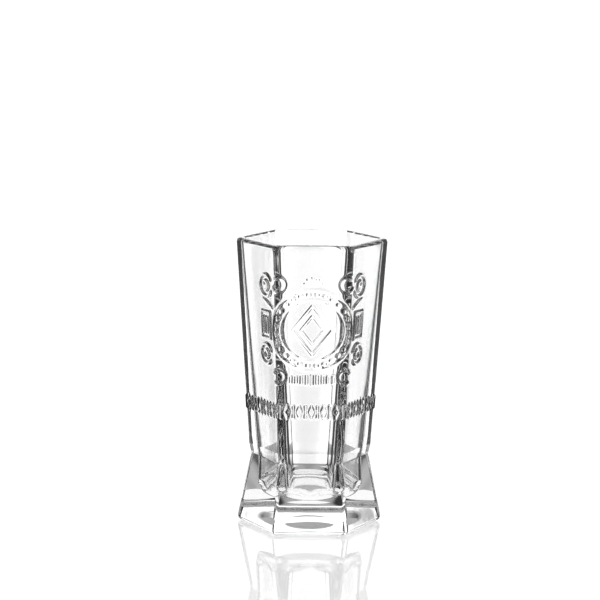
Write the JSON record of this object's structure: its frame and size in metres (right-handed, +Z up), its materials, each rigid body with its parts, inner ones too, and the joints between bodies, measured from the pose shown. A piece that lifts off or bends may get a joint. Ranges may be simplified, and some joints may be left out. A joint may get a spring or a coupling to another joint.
{
  "type": "shot glass",
  "caption": "Tall hexagonal shot glass with a flared foot, thick floor and raised geometric ornament.",
  "frame": {"origin": "centre of the base, on the surface the glass stands on", "axes": "+Z up through the mouth; the decorated flat side faces -Y; two opposite corners lie along X"},
  "size_m": [0.0468, 0.0412, 0.09],
  "materials": {
    "glass": "clear pressed soda-lime glass, fire-polished"
  },
  "bodies": {
    "root": {"foot": "glass", "bowl": "glass", "lip": "glass", "medallion_ring": "glass", "medallion_beads": "glass", "medallion_inner_ring": "glass", "lozenge_frame": "glass", "palmette": "glass", "pendant_fringe": "glass", "upper_scroll_left": "glass", "upper_scroll_right": "glass", "lower_scroll_left": "glass", "lower_scroll_right": "glass", "tablet_left": "glass", "tablet_right": "glass", "band_ornament": "glass"}
  },
  "joints": []
}
